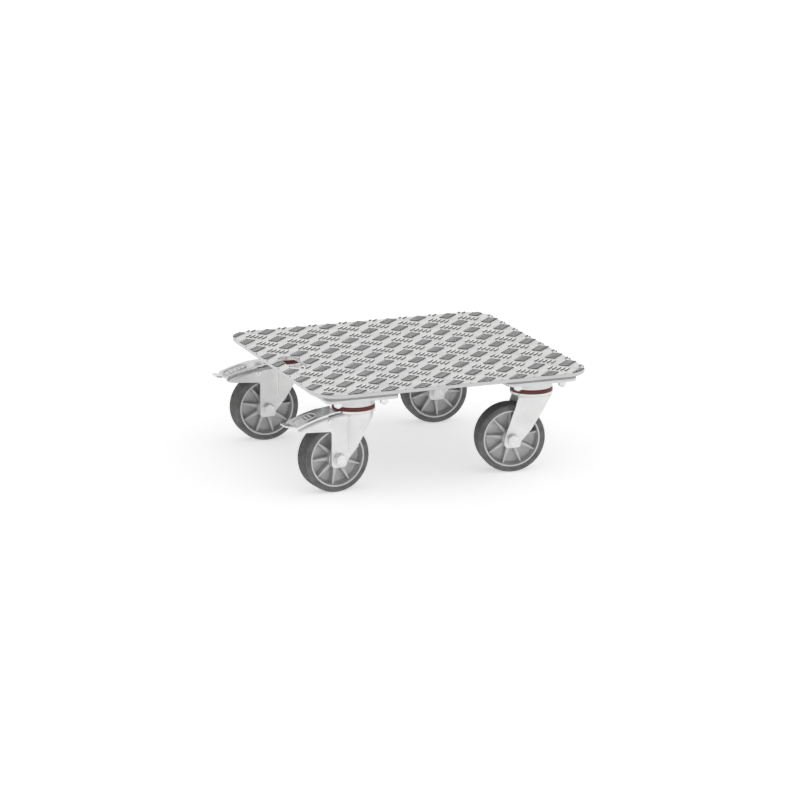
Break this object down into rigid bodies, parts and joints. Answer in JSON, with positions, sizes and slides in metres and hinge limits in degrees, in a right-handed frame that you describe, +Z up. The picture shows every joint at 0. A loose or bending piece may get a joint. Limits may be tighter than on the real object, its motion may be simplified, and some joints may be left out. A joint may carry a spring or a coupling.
{
  "type": "crate dolly",
  "caption": "Low square crate dolly: tread-plate deck with a grip hole, on swivel casters with solid tyres; the casters on the grip side have rocking foot brakes.",
  "frame": {"origin": "centre of the deck's loading face", "axes": "+Z up out of the loading face, +X right along the front edge, -X towards the grip hole, -Y front"},
  "size_m": [0.5692, 0.52, 0.1915],
  "materials": {
    "tread_plate": "bright rolled aluminium tread plate, satin",
    "packing_aluminium": "sawn aluminium plate, dull",
    "zinc_steel": "bright zinc-plated pressed steel",
    "red_seal": "dark red moulded seal, satin",
    "cast_rim": "grey cast aluminium with a machined edge",
    "tyre_rubber": "dark grey solid elastic rubber, matt",
    "bearing_steel": "polished bearing steel",
    "shoe_rubber": "black brake rubber, matt"
  },
  "bodies": {
    "platform": {"deck": "tread_plate", "mounting_studs": "zinc_steel", "stud_washers": "zinc_steel", "stud_nuts": "zinc_steel", "mounting_pad_front_left": "packing_aluminium", "top_plate_front_left": "zinc_steel", "king_pin_front_left": "zinc_steel", "swivel_balls_front_left": "bearing_steel", "mounting_pad_back_left": "packing_aluminium", "top_plate_back_left": "zinc_steel", "king_pin_back_left": "zinc_steel", "swivel_balls_back_left": "bearing_steel", "mounting_pad_front_right": "packing_aluminium", "top_plate_front_right": "zinc_steel", "king_pin_front_right": "zinc_steel", "swivel_balls_front_right": "bearing_steel", "mounting_pad_back_right": "packing_aluminium", "top_plate_back_right": "zinc_steel", "king_pin_back_right": "zinc_steel", "swivel_balls_back_right": "bearing_steel"},
    "swivel_front_left": {"fork_front_left": "zinc_steel", "seal_ring_front_left": "red_seal", "axle_bolt_front_left": "zinc_steel", "axle_nut_front_left": "zinc_steel", "axle_tube_front_left": "bearing_steel", "pedal_pin_front_left": "zinc_steel"},
    "wheel_front_left": {"rim_front_left": "cast_rim", "tyre_front_left": "tyre_rubber", "bearings_front_left": "bearing_steel"},
    "pedal_front_left": {"brake_pedal_front_left": "zinc_steel", "brake_shoe_front_left": "shoe_rubber"},
    "swivel_back_left": {"fork_back_left": "zinc_steel", "seal_ring_back_left": "red_seal", "axle_bolt_back_left": "zinc_steel", "axle_nut_back_left": "zinc_steel", "axle_tube_back_left": "bearing_steel", "pedal_pin_back_left": "zinc_steel"},
    "wheel_back_left": {"rim_back_left": "cast_rim", "tyre_back_left": "tyre_rubber", "bearings_back_left": "bearing_steel"},
    "pedal_back_left": {"brake_pedal_back_left": "zinc_steel", "brake_shoe_back_left": "shoe_rubber"},
    "swivel_front_right": {"fork_front_right": "zinc_steel", "seal_ring_front_right": "red_seal", "axle_bolt_front_right": "zinc_steel", "axle_nut_front_right": "zinc_steel", "axle_tube_front_right": "bearing_steel"},
    "wheel_front_right": {"rim_front_right": "cast_rim", "tyre_front_right": "tyre_rubber", "bearings_front_right": "bearing_steel"},
    "swivel_back_right": {"fork_back_right": "zinc_steel", "seal_ring_back_right": "red_seal", "axle_bolt_back_right": "zinc_steel", "axle_nut_back_right": "zinc_steel", "axle_tube_back_right": "bearing_steel"},
    "wheel_back_right": {"rim_back_right": "cast_rim", "tyre_back_right": "tyre_rubber", "bearings_back_right": "bearing_steel"}
  },
  "joints": [
    {"name": "swivel_turn_front_left", "type": "hinge", "parent": "platform", "child": "swivel_front_left", "pos_m": [-0.171, -0.186, -0.046], "axis": [0, 0, 1], "continuous": true},
    {"name": "wheel_roll_front_left", "type": "hinge", "parent": "swivel_front_left", "child": "wheel_front_left", "pos_m": [-0.21078, -0.19018, -0.1275], "axis": [-0.1045, 0.9945, 0], "continuous": true},
    {"name": "pedal_rock_front_left", "type": "hinge", "parent": "swivel_front_left", "child": "pedal_front_left", "pos_m": [-0.22769, -0.19196, -0.057], "axis": [-0.1045, 0.9945, 0], "range_deg": [0, 8]},
    {"name": "swivel_turn_back_left", "type": "hinge", "parent": "platform", "child": "swivel_back_left", "pos_m": [-0.171, 0.186, -0.046], "axis": [0, 0, 1], "continuous": true},
    {"name": "wheel_roll_back_left", "type": "hinge", "parent": "swivel_back_left", "child": "wheel_back_left", "pos_m": [-0.21099, 0.1867, -0.1275], "axis": [0.0175, 0.9998, 0], "continuous": true},
    {"name": "pedal_rock_back_left", "type": "hinge", "parent": "swivel_back_left", "child": "pedal_back_left", "pos_m": [-0.22799, 0.18699, -0.057], "axis": [0.0175, 0.9998, 0], "range_deg": [0, 8]},
    {"name": "swivel_turn_front_right", "type": "hinge", "parent": "platform", "child": "swivel_front_right", "pos_m": [0.171, -0.186, -0.046], "axis": [0, 0, 1], "continuous": true},
    {"name": "wheel_roll_front_right", "type": "hinge", "parent": "swivel_front_right", "child": "wheel_front_right", "pos_m": [0.13149, -0.17974, -0.1275], "axis": [0.1564, 0.9877, 0], "continuous": true},
    {"name": "swivel_turn_back_right", "type": "hinge", "parent": "platform", "child": "swivel_back_right", "pos_m": [0.171, 0.186, -0.046], "axis": [0, 0, 1], "continuous": true},
    {"name": "wheel_roll_back_right", "type": "hinge", "parent": "swivel_back_right", "child": "wheel_back_right", "pos_m": [0.13122, 0.19018, -0.1275], "axis": [0.1045, 0.9945, 0], "continuous": true}
  ]
}
